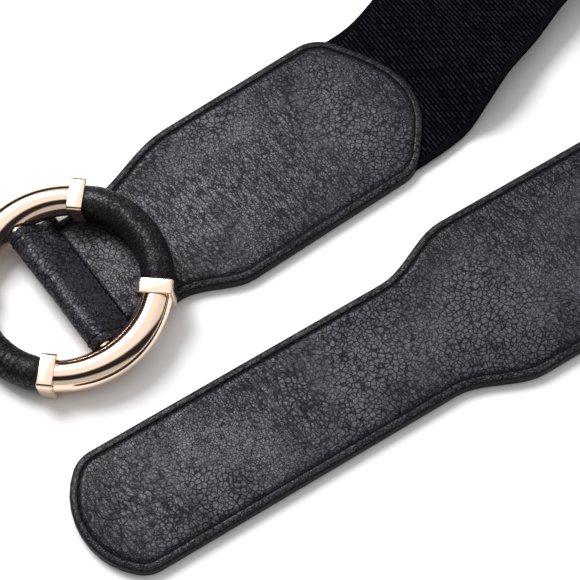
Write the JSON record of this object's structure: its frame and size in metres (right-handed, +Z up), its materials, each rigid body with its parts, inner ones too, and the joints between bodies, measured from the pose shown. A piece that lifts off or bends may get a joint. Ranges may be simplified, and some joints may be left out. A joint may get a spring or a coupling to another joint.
{
  "type": "elastic stretch belt",
  "caption": "Wide elastic stretch belt with stitched leather end panels, a rounded tongue and a round ring buckle with leather sleeves, lying open.",
  "frame": {"origin": "on the table, under the middle of the whole belt as it lies", "axes": "+X along the buckle strap, from the ring towards the far bend; +Y from the tongue strap towards the buckle strap; +Z up"},
  "size_m": [0.3442, 0.183, 0.06],
  "materials": {
    "leather": "semi-gloss pebbled black grain leather with black stitching",
    "elastic": "matt black ribbed elastic webbing",
    "ring_metal": "polished light rose gold plating",
    "snap_metal": "dull nickel plating"
  },
  "bodies": {
    "belt": {"elastic_band": "elastic", "buckle_panel": "leather", "tongue_panel": "leather", "loop_strap": "leather", "snap_stud": "snap_metal", "snap_socket": "snap_metal"},
    "ring": {"buckle_ring": "ring_metal", "leather_sleeve_right": "leather", "leather_sleeve_left": "leather"}
  },
  "joints": [
    {"name": "ring_swing", "type": "hinge", "parent": "belt", "child": "ring", "pos_m": [-0.13022, 0.03233, 0.0092], "axis": [0.0157, -0.9999, 0], "range_deg": [0, 110]}
  ]
}
